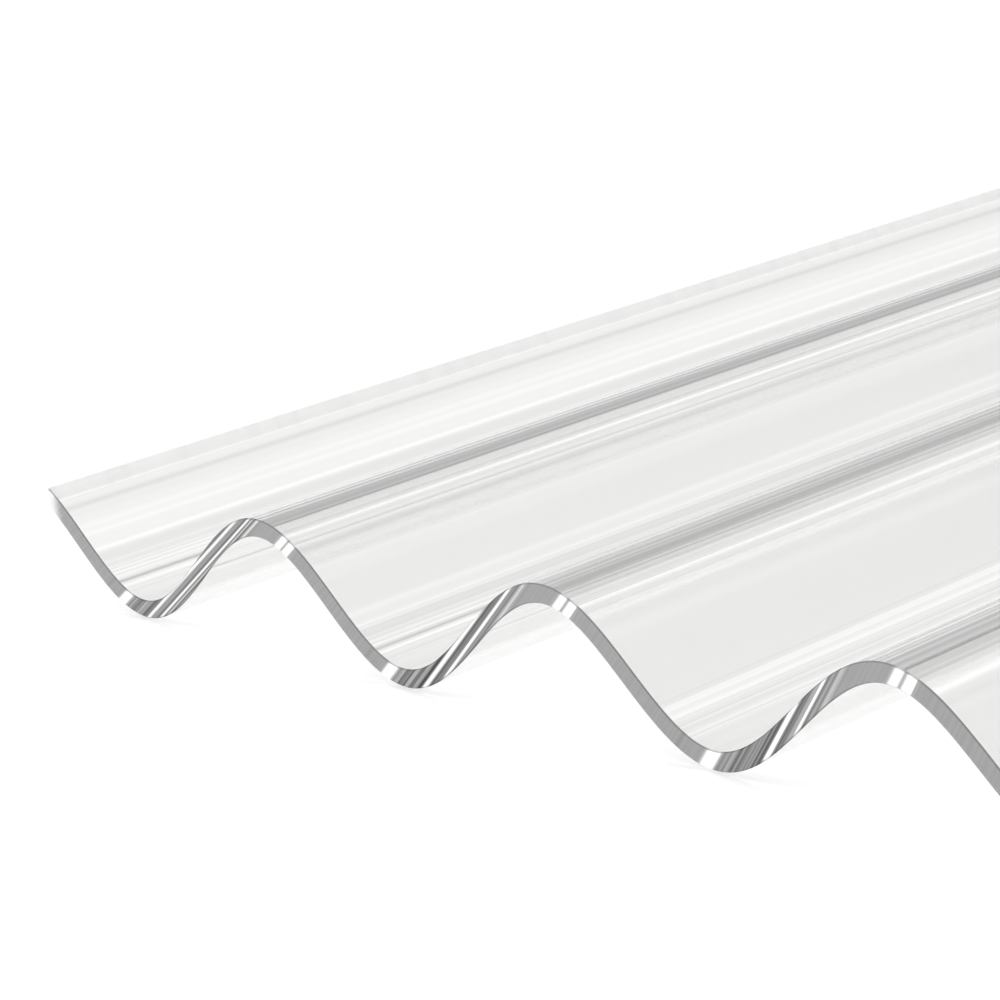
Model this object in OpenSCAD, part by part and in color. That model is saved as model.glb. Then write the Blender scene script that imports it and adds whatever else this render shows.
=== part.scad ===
// Corrugated roofing sheet of clear plastic, with a sine-wave section and square-cut ends.
// Millimetres. X runs across the waves, Y along them, Z up. The sheet rests on its troughs at z = 0,
// with the origin under its middle.

/* [Sheet] */
// Length along the waves
sheet_length = 2438; // [600:1:3660]
// Overall width across the waves, before any lap
sheet_width = 660; // [300:1:1220]

/* [Wave] */
// Distance from one crest to the next
pitch = 67.8; // [60:0.1:76]
// Height of a crest above a trough, measured on one face
wave_depth = 20; // [15:0.1:24]
// Thickness of the plastic, square to its surface
thickness = 3.2; // [1:0.1:4]

/* [Curve] */
// Straight steps that stand for each wave
wave_steps = 48; // [24:4:96]

/* [Hidden] */
// Names of the pieces: the sheet is one

// Full height of the sheet as it lies
sheet_height = wave_depth + thickness;
// Angle the wave turns through over one millimetre of width
turn = 360 / pitch;
// Steps from the middle crest to just past each long edge
half_steps = ceil((sheet_width / 2 + thickness) / pitch * wave_steps);
// Places across the sheet where the section is worked out, edge to edge
stations = [for (i = [-half_steps : half_steps]) i * pitch / wave_steps];

// Height of the sheet's mid-surface, with a crest over the middle
function mid_z(x) = sheet_height / 2 + wave_depth / 2 * cos(turn * x);

// Slope of the mid-surface, rise over run
function mid_slope(x) = -wave_depth * PI / pitch * sin(turn * x);

// Point at a distance from the mid-surface, square to it: + is the upper side
function skin_point(x, away) =
    let (slope = mid_slope(x), run = sqrt(1 + slope * slope))
    [x - away * slope / run, mid_z(x) + away / run];

// The wave at constant thickness, reaching past both long edges
module wave_band() {
    upper = [for (x = stations) skin_point(x, thickness / 2)];
    lower = [for (i = [len(stations) - 1 : -1 : 0]) skin_point(stations[i], -thickness / 2)];
    polygon(concat(upper, lower));
}

// Section of the sheet, with both long edges cut upright
module sheet_section() {
    intersection() {
        wave_band();
        translate([-sheet_width / 2, 0]) square([sheet_width, sheet_height]);
    }
}

module roofing_sheet() {
    color("whitesmoke")
    rotate([90, 0, 0])
    linear_extrude(height = sheet_length, center = true)
    sheet_section();
}

roofing_sheet();
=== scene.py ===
# Corrugated roofing sheet of clear plastic, lying on a pale studio floor.
# Metres. X runs across the waves, Y along them, Z up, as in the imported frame.
import math
import random

import bmesh
import bpy
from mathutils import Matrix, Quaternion, Vector


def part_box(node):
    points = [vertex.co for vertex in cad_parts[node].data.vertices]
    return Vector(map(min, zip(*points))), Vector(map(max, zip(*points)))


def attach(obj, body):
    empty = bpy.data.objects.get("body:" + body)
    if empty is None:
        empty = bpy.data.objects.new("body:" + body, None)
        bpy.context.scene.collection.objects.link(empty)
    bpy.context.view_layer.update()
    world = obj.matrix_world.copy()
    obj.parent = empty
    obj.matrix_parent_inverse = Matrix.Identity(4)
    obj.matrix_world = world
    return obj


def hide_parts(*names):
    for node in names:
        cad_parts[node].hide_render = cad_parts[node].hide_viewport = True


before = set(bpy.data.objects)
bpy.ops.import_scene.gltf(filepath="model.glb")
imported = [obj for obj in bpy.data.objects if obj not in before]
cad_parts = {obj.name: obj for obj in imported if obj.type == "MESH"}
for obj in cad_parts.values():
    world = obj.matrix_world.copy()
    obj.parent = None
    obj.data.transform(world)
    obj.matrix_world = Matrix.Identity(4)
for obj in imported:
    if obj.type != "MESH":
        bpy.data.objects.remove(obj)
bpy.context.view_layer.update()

scene = bpy.context.scene
scene.view_settings.view_transform = "Standard"
mostBounces = 64  # light guided inside the sheet is followed until it leaves
scene.cycles.max_bounces = mostBounces
scene.cycles.transmission_bounces = mostBounces
scene.cycles.glossy_bounces = mostBounces
lowCorner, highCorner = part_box("roofing_sheet")
print("frame loaded:", [round(v, 4) for v in highCorner - lowCorner])


class Wire:
    # one socket that a node gives out, with the operators that value maths needs
    def __init__(self, nodes, socket):
        self.nodes = nodes
        self.socket = socket

    def out(self, name):
        return Wire(self.nodes, self.socket.node.outputs[name])

    def __add__(self, other):
        return self.nodes.maths("ADD", self, other)

    def __radd__(self, other):
        return self.nodes.maths("ADD", other, self)

    def __sub__(self, other):
        return self.nodes.maths("SUBTRACT", self, other)

    def __rsub__(self, other):
        return self.nodes.maths("SUBTRACT", other, self)

    def __mul__(self, other):
        return self.nodes.maths("MULTIPLY", self, other)

    def __rmul__(self, other):
        return self.nodes.maths("MULTIPLY", other, self)

    def __truediv__(self, other):
        return self.nodes.maths("DIVIDE", self, other)

    def __rtruediv__(self, other):
        return self.nodes.maths("DIVIDE", other, self)


class Nodes:
    # a node tree that is filled by one method
    def __init__(self, owner):
        owner.use_nodes = True
        self.tree = owner.node_tree
        self.tree.nodes.clear()

    def add(self, kind, settings=None, sockets=None):
        node = self.tree.nodes.new(kind)
        for name, value in (settings or {}).items():
            if name == "stops":
                self.setStops(node.color_ramp, value)
            else:
                setattr(node, name, value)
        for name, value in (sockets or {}).items():
            if isinstance(value, Wire):
                self.tree.links.new(value.socket, node.inputs[name])
            else:
                node.inputs[name].default_value = value
        return Wire(self, node.outputs[0]) if node.outputs else None

    def setStops(self, ramp, stops):
        while len(ramp.elements) < len(stops):
            ramp.elements.new(1.0)
        for element, (place, grey) in zip(ramp.elements, stops):
            element.position = place
            element.color = (grey, grey, grey, 1)

    def maths(self, operation, *values):
        return self.add("ShaderNodeMath", {"operation": operation}, dict(enumerate(values)))

    def between(self, value, start, end, low=0.0, high=1.0):
        # smooth step from low at start to high at end
        return self.add(
            "ShaderNodeMapRange",
            {"interpolation_type": "SMOOTHSTEP"},
            {"Value": value, "From Min": start, "From Max": end, "To Min": low, "To Max": high},
        )

    def window(self, value, start, end, blur):
        # 1 between start and end, 0 outside, with soft edges
        rise = self.between(value, start - blur / 2, start + blur / 2)
        fall = self.between(value, end - blur / 2, end + blur / 2, 1.0, 0.0)
        return rise * fall

    def mix(self, factor, first, second):
        # the colour sockets of a Mix node are its seventh and eighth
        blend = self.add("ShaderNodeMix", {"data_type": "RGBA"}, {0: factor, 6: first, 7: second})
        return Wire(self, blend.socket.node.outputs[2])

    def place(self):
        # the object coordinates in metres, given out as X, Y and Z
        spot = self.add("ShaderNodeTexCoord").out("Object")
        return self.add("ShaderNodeSeparateXYZ", None, {"Vector": spot})

    def lines(self, across, scale, detail=0.0):
        # uneven lines, so many a metre
        return self.add(
            "ShaderNodeTexNoise",
            {"noise_dimensions": "1D"},
            {"W": across, "Scale": scale, "Detail": detail},
        )


cameraSetup = {
    "lens": 121.4,
    "clip": (0.01, 200),
    "azimuth": 47.73,  # degrees round from looking along +Y
    "elevation": 16.16,
    "roll": -5.43,
    "distance": 0.5996,
    "fromSide": 0.0584,  # aim point, in from the left long edge
    "fromEnd": 0.0555,  # and in from the near end
}


def aimCamera(setup):
    data = bpy.data.cameras.new("camera")
    data.lens = setup["lens"]
    data.clip_start, data.clip_end = setup["clip"]
    camera = bpy.data.objects.new("camera", data)
    scene.collection.objects.link(camera)
    turn, rise = math.radians(setup["azimuth"]), math.radians(setup["elevation"])
    back = Vector((
        math.sin(turn) * math.cos(rise),
        -math.cos(turn) * math.cos(rise),
        math.sin(rise),
    ))
    aim = Vector((
        lowCorner.x + setup["fromSide"],
        lowCorner.y + setup["fromEnd"],
        (lowCorner.z + highCorner.z) / 2,
    ))
    camera.rotation_mode = "QUATERNION"
    tilt = Quaternion((0, 0, 1), math.radians(setup["roll"]))
    camera.rotation_quaternion = back.to_track_quat("Z", "Y") @ tilt
    camera.location = aim + back * setup["distance"]
    scene.camera = camera


aimCamera(cameraSetup)
print("camera aimed")


studio = {
    "floorRadius": 60,
    "floorSides": 64,
    "floorDrop": 0.0002,  # under the sheet, so that the two faces don't meet
    "floorGrey": 0.8,
    "floorLift": 0.3,  # added where the floor is seen in the open
    "sheetLift": 0.245,  # and where it is seen in or through the plastic
    "skyGrey": 0.57,
    "horizon": (0.02, 0.14),  # height of direction where white gives way to the grey sky
    # strips of sky along Y: start and end in degrees from straight up towards +X, blur, level
    "strips": [
        (-99, -91, 2, 1.05),
        (-48, -33.5, 3, 0.75),
        (-13.2, -11.8, 0.6, 1.55),
        (-11.8, -3.2, 1, 0.95),
        (-2.8, -0.4, 0.8, 1.2),
        (0.8, 5.6, 1, 0.8),
        (5.6, 12.2, 1, 0.26),
        (16.1, 28, 0.8, 0.34),
    ],
    "lampAngle": 60,  # degrees across the soft lamp, as seen from the sheet
    "lampStrength": 1.2,
}


def lightWorld(setup):
    world = bpy.data.worlds.new("studio")
    scene.world = world
    nodes = Nodes(world)
    plainLevel = setup["skyGrey"]
    direction = nodes.add("ShaderNodeTexCoord").out("Generated")
    split = nodes.add("ShaderNodeSeparateXYZ", None, {"Vector": direction})
    x, z = split.out("X"), split.out("Z")
    angle = nodes.maths("ARCTAN2", x, z) * (180 / math.pi)
    level = plainLevel
    for start, end, blur, strength in setup["strips"]:
        level = level + (strength - plainLevel) * nodes.window(angle, start, end, blur)
    level = 1 + (level - 1) * nodes.between(z, *setup["horizon"])
    inView = nodes.add("ShaderNodeLightPath").out("Is Camera Ray")
    level = level + (1 - level) * inView
    light = nodes.add("ShaderNodeBackground", None, {"Color": (1, 1, 1, 1), "Strength": level})
    nodes.add("ShaderNodeOutputWorld", None, {"Surface": light})


def floorMaterial(setup):
    material = bpy.data.materials.new("paleFloor")
    nodes = Nodes(material)
    grey = setup["floorGrey"]
    matt = nodes.add("ShaderNodeBsdfDiffuse", None, {"Color": (grey, grey, grey, 1)})
    path = nodes.add("ShaderNodeLightPath")
    bent = nodes.maths("MAXIMUM", path.out("Is Glossy Ray"), path.out("Is Transmission Ray"))
    glow = setup["floorLift"] * path.out("Is Camera Ray") + setup["sheetLift"] * bent
    lift = nodes.add("ShaderNodeEmission", None, {"Strength": glow})
    both = nodes.add("ShaderNodeAddShader", None, {0: matt, 1: lift})
    nodes.add("ShaderNodeOutputMaterial", None, {"Surface": both})
    return material


def layFloor(setup):
    mesh = bpy.data.meshes.new("floor")
    shape = bmesh.new()
    bmesh.ops.create_circle(
        shape, cap_ends=True, segments=setup["floorSides"], radius=setup["floorRadius"],
    )
    shape.to_mesh(mesh)
    shape.free()
    floor = bpy.data.objects.new("floor", mesh)
    floor.location.z = lowCorner.z - setup["floorDrop"]
    scene.collection.objects.link(floor)
    floor.data.materials.append(floorMaterial(setup))


def hangLamp(setup):
    # one wide soft lamp that lights matt faces and leaves the gloss to the sky
    data = bpy.data.lights.new("softLamp", "SUN")
    data.angle = math.radians(setup["lampAngle"])
    data.energy = setup["lampStrength"]
    lamp = bpy.data.objects.new("softLamp", data)
    lamp.visible_camera = False
    lamp.visible_glossy = False
    lamp.visible_transmission = False
    scene.collection.objects.link(lamp)


lightWorld(studio)
hangLamp(studio)
layFloor(studio)
print("studio ready")


sheetShape = {
    "pitch": 0.0678,  # crest to crest
    "thickness": 0.0032,
    "stepsPerWave": 256,
    "chamfer": 0.0002,  # broken edge round the saw cuts
    "cornerGrowth": 0.4,  # of an inset, how much wider it makes the cut at the long corners
    "sharpAngle": 20,  # degrees between faces, from which an edge is shaded sharp
    # rows of the map that the finishes are baked through: lowest edge and height
    "rows": {
        "upper": (0.02, 0.36),
        "lower": (0.41, 0.36),
        "near": (0.805, 0.05),
        "far": (0.885, 0.05),
        "right": (0.955, 0.012),
        "left": (0.98, 0.012),
    },
    "rowMargin": 0.006,  # left free round each row
}
skinFinish, cutFinish, edgeFinish, sideFinish = range(4)


def sectionPoint(x, away, setup):
    # point on the wave, away from its middle line and square to it
    depth = highCorner.z - lowCorner.z - setup["thickness"]
    phase = 2 * math.pi * x / setup["pitch"]
    slope = -depth * math.pi / setup["pitch"] * math.sin(phase)
    run = math.hypot(1, slope)
    middle = (lowCorner.z + highCorner.z) / 2 + depth / 2 * math.cos(phase)
    return x - away * slope / run, middle + away / run


def stationAt(wanted, away, setup):
    # place on the middle line whose skin point stands at the wanted x
    low, high = wanted - setup["thickness"], wanted + setup["thickness"]
    halvings = 40
    for _ in range(halvings):
        half = (low + high) / 2
        if sectionPoint(half, away, setup)[0] < wanted:
            low = half
        else:
            high = half
    return (low + high) / 2


def skinLine(side, inset, corner, setup):
    # one skin from long edge to long edge; side is 1 for the upper and -1 for the lower
    away = side * (setup["thickness"] / 2 - inset)
    stop = inset + corner
    first = stationAt(lowCorner.x + stop, away, setup)
    last = stationAt(highCorner.x - stop, away, setup)
    count = round((highCorner.x - lowCorner.x) / setup["pitch"] * setup["stepsPerWave"])
    stations = (first + (last - first) * i / count for i in range(count + 1))
    return [sectionPoint(x, away, setup) for x in stations]


def sectionLoop(inset, setup):
    # closed outline of the section, clockwise from the upper left; inset pulls every side in
    corner = setup["chamfer"] + setup["cornerGrowth"] * inset
    upper = skinLine(1, inset, corner, setup)
    lower = skinLine(-1, inset, corner, setup)
    right, left = highCorner.x - inset, lowCorner.x + inset
    return [
        *upper,
        (right, upper[-1][1] - corner),
        (right, lower[-1][1] + corner),
        *reversed(lower),
        (left, lower[0][1] + corner),
        (left, upper[0][1] - corner),
    ]


paintedLinesAndGrain = {
    "clearness": 0.85,  # of the weather side, which has a slightly darker skin
    # painted highlight lines (light gained, shown as a glow) and painted dark lines (light lost,
    # below 0), standing for reflections, each series from its first line outwards: place out from
    # the middle, spacing, half width, and light gained (or lost, below 0)
    "paintedLineSeries": [
        (0.0586, 0.0684, 0.0006, 0.20),
        (0.1078, 0.0701, 0.0005, 0.20),
        (0.1084, 0.0708, 0.0007, 0.06),
        (0.1930, 0.0645, 0.0006, 0.06),
        (0.2024, 0.0679, 0.0007, 0.22),
        (0.2035, 0.0679, 0.0006, 0.18),
        (0.1321, 0.2000, 0.0006, -0.90),
        (0.2029, 0.0679, 0.0006, -0.70),
        (0.2439, 0.0680, 0.0005, -0.70),
        (0.2607, 0.0646, 0.0006, -0.25),
        (0.1305, 0.0690, 0.0018, -0.25),
        (0.1765, 0.0703, 0.0016, -0.14),
    ],
    "seed": 5,  # of the grain
    "grain": 0.006,  # uneven clearness from line to line
    "crowdedGrain": 0.12,  # and stronger where the dark reflection bands fall, between these parts of a wave; there the grain is painted streaks of reflection
    "crowds": [(0.00, 0.10), (0.34, 0.44), (0.95, 1.0)],
}


def paintedLineAndGrainChange(x, marks, chance):
    # how much lighter or darker one line of the weather side is: random grain plus painted
    # highlight and dark lines
    out = abs(x)
    phase = -out / sheetShape["pitch"] % 1
    crowded = any(start <= phase <= end for start, end in marks["crowds"])
    change = chance.uniform(-1, 1) * marks["crowdedGrain" if crowded else "grain"]
    for place, spacing, halfWidth, level in marks["paintedLineSeries"]:
        nearest = place + spacing * max(0, round((out - place) / spacing))
        change += level * max(0, 1 - abs(out - nearest) / halfWidth)
    return change


class SheetMaker:
    # fills one mesh face by face, and gives each its finish and its spot on the bake map
    def __init__(self, setup):
        self.setup = setup
        self.shape = bmesh.new()
        self.mapLayer = self.shape.loops.layers.uv.new("OFBake")
        # clearness carries the painted dark lines, glint the painted highlight lines
        self.clearLayer = self.shape.verts.layers.float.new("clearness")
        self.glintLayer = self.shape.verts.layers.float.new("glint")

    def spot(self, row, across, up):
        low, height = self.setup["rows"][row]
        margin = self.setup["rowMargin"]
        return margin * 2 + (1 - margin * 4) * across, low + height * up

    def addFace(self, corners, spots, finish):
        face = self.shape.faces.new(corners)
        face.material_index = finish
        face.smooth = True
        for loop, spot in zip(face.loops, spots):
            loop[self.mapLayer].uv = spot

    def addBand(self, front, back, finish, spots):
        # quads between two outlines; spots gives the four map corners for each step
        for i in range(len(front)):
            j = (i + 1) % len(front)
            self.addFace((front[i], front[j], back[j], back[i]), spots(i, j), finish(i))


def buildSheet(setup, marks):
    chamfer = setup["chamfer"]
    maker = SheetMaker(setup)
    full, small = sectionLoop(0, setup), sectionLoop(chamfer, setup)
    near, far = lowCorner.y, highCorner.y
    loops = [
        [maker.shape.verts.new((x, y, z)) for x, z in outline]
        for outline, y in (
            (small, near), (full, near + chamfer), (full, far - chamfer), (small, far),
        )
    ]
    steps = (len(full) - 4) // 2 - 1  # faces across one skin
    chance = random.Random(marks["seed"])
    # painted highlight and dark lines, with grain, for each station across the skin
    changes = [paintedLineAndGrainChange(full[i][0], marks, chance) for i in range(steps + 1)]
    for loop in loops:
        for i, corner in enumerate(loop):
            change = changes[i] if i <= steps else 0
            base = marks["clearness"] if i <= steps else 1
            corner[maker.clearLayer] = base * (1 + min(change, 0))
            corner[maker.glintLayer] = max(change, 0)
    forward = [i / steps for i in range(steps + 1)]
    across = [*forward, 1, 1, *reversed(forward), 0, 0]
    edgeSteps = (0, 0.2, 0.8, 1)  # corner, cut side and corner, up the long edges

    def partOf(i):
        if i < steps:
            return "upper"
        if i < steps + 3:
            return "right"
        if i < 2 * steps + 3:
            return "lower"
        return "left"

    def longSpots(i, j):
        part = partOf(i)
        if part in ("upper", "lower"):
            corners = ((across[i], 0), (across[j], 0), (across[j], 1), (across[i], 1))
        else:
            first = steps if part == "right" else 2 * steps + 3
            start, end = edgeSteps[i - first], edgeSteps[i - first + 1]
            corners = ((0, start), (0, end), (1, end), (1, start))
        return [maker.spot(part, *corner) for corner in corners]

    def endSpot(row, i, out):
        # place of outline point i on an end's row; out is 1 on the far side of the chamfer
        margin = out * setup["rowMargin"]
        u, v = maker.spot(row, across[i], {"upper": 1, "lower": 0}.get(partOf(i), 0.5))
        if i == steps:
            v = maker.spot(row, 1, 1)[1]
        elif i == 2 * steps + 3:
            v = maker.spot(row, 0, 0)[1]
        elif partOf(i) == "right":
            return u + margin, v
        elif partOf(i) == "left":
            return u - margin, v
        return u, v + (margin if v > maker.spot(row, 0, 0.5)[1] else -margin)

    def ringSpots(row, outFront, outBack):
        return lambda i, j: [
            endSpot(row, i, outFront), endSpot(row, j, outFront),
            endSpot(row, j, outBack), endSpot(row, i, outBack),
        ]

    def longFinish(i):
        return skinFinish if partOf(i) in ("upper", "lower") else sideFinish

    maker.addBand(loops[0], loops[1], lambda i: edgeFinish, ringSpots("near", 0, 1))
    maker.addBand(loops[1], loops[2], longFinish, longSpots)
    maker.addBand(loops[2], loops[3], lambda i: edgeFinish, ringSpots("far", 1, 0))
    total = len(full)
    for loop, row in ((loops[0], "near"), (loops[3], "far")):
        upper = [total - 1, *range(steps + 1), steps + 1]
        lower = [total - 2, *range(total - 3, steps + 2, -1), steps + 2]
        for i in range(len(upper) - 1):
            corners = (upper[i], upper[i + 1], lower[i + 1], lower[i])
            spots = [endSpot(row, c, 0) for c in corners]
            maker.addFace([loop[c] for c in corners], spots, cutFinish)
    shape = maker.shape
    bmesh.ops.recalc_face_normals(shape, faces=shape.faces)
    for edge in shape.edges:
        edge.smooth = edge.calc_face_angle(0) < math.radians(setup["sharpAngle"])
    mesh = bpy.data.meshes.new("corrugated_sheet")
    shape.to_mesh(mesh)
    shape.free()
    sheet = bpy.data.objects.new("corrugated_sheet", mesh)
    scene.collection.objects.link(sheet)
    return sheet


plasticLooks = {
    "warmth": (1.0, 1.0, 0.99, 1),
    "shade": (0.985, 0.985, 0.975, 1),  # between the faint ripples left by the die
    "rippleScale": 260,  # ripples for each metre across
    "rippleDetail": 3.0,
    "rippleRange": (0.45, 0.7),  # of the ripples, from warmth to shade
    "rippleHeight": 0.000006,
    "ior": 1.58,
    "roughness": 0.0,
    "absorption": 2,  # light lost for each metre inside
    "insideGrey": 0.8,  # what that light is dimmed towards
    "shadowTint": 0.97,
}

paintedCutLooks = {
    "fanHeight": 0.24,  # the streaks fan out from a point this high above the middle of the end
    "wanderScale": 17,
    "wander": 0.03,  # of a wave, how far the streaks shift from one wave to the next
    "fineScale": 1100,
    "fineDetail": 1.0,
    "fineContrast": (0.38, 0.62),  # of the fine streaks, from dark to light
    "fineRange": (0.62, 0.80),  # of a wave, where the fine streaks crowd together
    "fineBlur": 0.05,
    "fineStrength": 0.28,
    "grain": 0.04,  # strength of the fine streaks everywhere else
    "roughness": 0.15,
    "lightest": 0.95,
    "glowFrom": 0.5,  # tone from which a painted streak gets a painted glow, standing for guided light
    # strength of the painted glow
    "glow": 0.45,
    # painted streaks of light and shade over one wave, from crest to crest on the left half: place
    # and grey
    "streaks": [
        (0.000, 0.55), (0.015, 0.47), (0.480, 0.46), (0.490, 0.36), (0.500, 0.46), (0.562, 0.46),
        (0.577, 0.95), (0.603, 0.95), (0.614, 0.50), (0.620, 0.38), (0.635, 0.46), (0.655, 0.18),
        (0.670, 0.40), (0.700, 0.30), (0.716, 0.16), (0.724, 0.95), (0.730, 0.95), (0.740, 0.20),
        (0.757, 0.36), (0.765, 0.95), (0.773, 0.25), (0.779, 0.65), (0.788, 0.28), (0.803, 0.70),
        (0.812, 0.42), (0.830, 0.47), (0.921, 0.47), (0.934, 0.95), (0.952, 0.95), (0.962, 0.48),
        (0.974, 0.95), (0.986, 0.90),
    ],
    "cornerLight": (0.0042, 0.0003),  # in from a long edge, where a painted highlight starts to pale the end face and where it is full
    "cornerGrey": 0.8,  # the tone the painted highlight pales it to
    "edgeShade": 0.62,  # painted shade of the broken edge, as a share of the end face
}

sideLooks = {
    "colour": (0.95, 0.95, 0.945, 1),
    "mark": (0.88, 0.885, 0.88, 1),
    "markScale": 300,  # saw marks for each metre
    "markDetail": 2.0,
    "markRange": (0.4, 0.7),  # of the marks, from colour to mark
    "markDepth": 0.00005,
    "roughness": 0.5,
    "glow": 0.37,  # painted glow, standing for guided light that leaves through the edge
}


def letLampsThrough(nodes, shader, tint):
    # lamps reach the floor through the sheet, a little dimmed at each face
    path = nodes.add("ShaderNodeLightPath")
    unseen = nodes.maths("MAXIMUM", path.out("Is Shadow Ray"), path.out("Is Diffuse Ray"))
    clear = nodes.add("ShaderNodeBsdfTransparent", None, {"Color": (tint, tint, tint, 1)})
    return nodes.add("ShaderNodeMixShader", None, {0: unseen, 1: shader, 2: clear})


def clearPlastic(looks):
    material = bpy.data.materials.new("clearPlastic")
    nodes = Nodes(material)
    place = nodes.place()
    # the ripples are drawn out along the sheet
    stretched = place.out("Y") / looks["rippleScale"]
    spot = nodes.add("ShaderNodeCombineXYZ", None, {"X": place.out("X"), "Y": stretched})
    ripples = nodes.add(
        "ShaderNodeTexNoise",
        {"noise_dimensions": "2D"},
        {"Vector": spot, "Scale": looks["rippleScale"], "Detail": looks["rippleDetail"]},
    )
    # the painted dark lines darken the tint through clearness, and the painted highlight lines
    # glow through glint
    clear = nodes.add("ShaderNodeAttribute", {"attribute_name": "clearness"}).out("Fac")
    glint = nodes.add("ShaderNodeAttribute", {"attribute_name": "glint"}).out("Fac")
    share = nodes.between(ripples, *looks["rippleRange"])
    tint = nodes.mix(share, looks["warmth"], looks["shade"])
    bump = nodes.add("ShaderNodeBump", None, {
        "Height": ripples,
        "Distance": looks["rippleHeight"],
    })
    skin = nodes.add("ShaderNodeBsdfPrincipled", None, {
        "Base Color": nodes.mix(clear, (0, 0, 0, 1), tint),
        "Emission Color": nodes.mix(glint, (0, 0, 0, 1), (1, 1, 1, 1)),
        "Emission Strength": 1.0,
        "Roughness": looks["roughness"],
        "IOR": looks["ior"],
        "Transmission Weight": 1.0,
        "Normal": bump,
    })
    grey = looks["insideGrey"]
    inside = nodes.add("ShaderNodeVolumeAbsorption", None, {
        "Color": (grey, grey, grey, 1),
        "Density": looks["absorption"] / (1 - grey),
    })
    surface = letLampsThrough(nodes, skin, looks["shadowTint"])
    nodes.add("ShaderNodeOutputMaterial", None, {"Surface": surface, "Volume": inside})
    return material


def cutEnd(looks, name, shade):
    # painted streaks of light and shade with a painted glow, standing for guided light, that fan
    # out from a point above the middle
    material = bpy.data.materials.new(name)
    nodes = Nodes(material)
    place = nodes.place()
    middle = (lowCorner.z + highCorner.z) / 2
    across = place.out("X") * (looks["fanHeight"] - middle) / (looks["fanHeight"] - place.out("Z"))
    wander = nodes.lines(across, looks["wanderScale"]) - 0.5
    waves = looks["wander"] * wander - nodes.maths("ABSOLUTE", across) / sheetShape["pitch"]
    phase = nodes.maths("FLOORED_MODULO", waves, 1.0)
    streaks = nodes.add("ShaderNodeValToRGB", {"stops": looks["streaks"]}, {"Fac": phase})
    fineLines = nodes.lines(across, looks["fineScale"], looks["fineDetail"])
    fine = nodes.between(fineLines, *looks["fineContrast"]) - 0.5
    crowded = nodes.window(phase, *looks["fineRange"], looks["fineBlur"])
    tone = streaks + fine * (looks["grain"] + looks["fineStrength"] * crowded)
    # painted highlight towards the long edges
    start, end = (highCorner.x - inset for inset in looks["cornerLight"])
    corner = nodes.between(nodes.maths("ABSOLUTE", place.out("X")), start, end)
    tone = (tone + (looks["cornerGrey"] - tone) * corner) * shade
    # the lightest painted streaks get a painted glow
    glow = nodes.between(tone, looks["glowFrom"], looks["lightest"], 0, looks["glow"])
    face = nodes.add("ShaderNodeBsdfPrincipled", None, {
        "Base Color": nodes.maths("MINIMUM", tone, looks["lightest"]),
        "Roughness": looks["roughness"],
        "Emission Color": nodes.mix(glow, (0, 0, 0, 1), (1, 1, 1, 1)),
        "Emission Strength": 1.0,
    })
    nodes.add("ShaderNodeOutputMaterial", None, {"Surface": face})
    return material


def frostedSide(looks):
    # the long edges, trimmed by a saw that leaves marks across them
    material = bpy.data.materials.new("frostedSide")
    nodes = Nodes(material)
    marks = nodes.lines(nodes.place().out("Y"), looks["markScale"], looks["markDetail"])
    colour = nodes.mix(nodes.between(marks, *looks["markRange"]), looks["colour"], looks["mark"])
    bump = nodes.add("ShaderNodeBump", None, {"Height": marks, "Distance": looks["markDepth"]})
    face = nodes.add("ShaderNodeBsdfPrincipled", None, {
        "Base Color": colour,
        "Roughness": looks["roughness"],
        # the painted glow, in the colour of the edge
        "Emission Color": colour,
        "Emission Strength": looks["glow"],
        "Normal": bump,
    })
    nodes.add("ShaderNodeOutputMaterial", None, {"Surface": face})
    return material


sheet = buildSheet(sheetShape, paintedLinesAndGrain)
for finish in (
    clearPlastic(plasticLooks),
    cutEnd(paintedCutLooks, "cutEnd", 1.0),
    # the broken edge is a darker copy of the painted end face: painted shade
    cutEnd(paintedCutLooks, "brokenEdge", paintedCutLooks["edgeShade"]),
    frostedSide(sideLooks),
):
    sheet.data.materials.append(finish)
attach(sheet, "root")
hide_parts("roofing_sheet")
print("sheet made:", len(sheet.data.polygons), "faces")
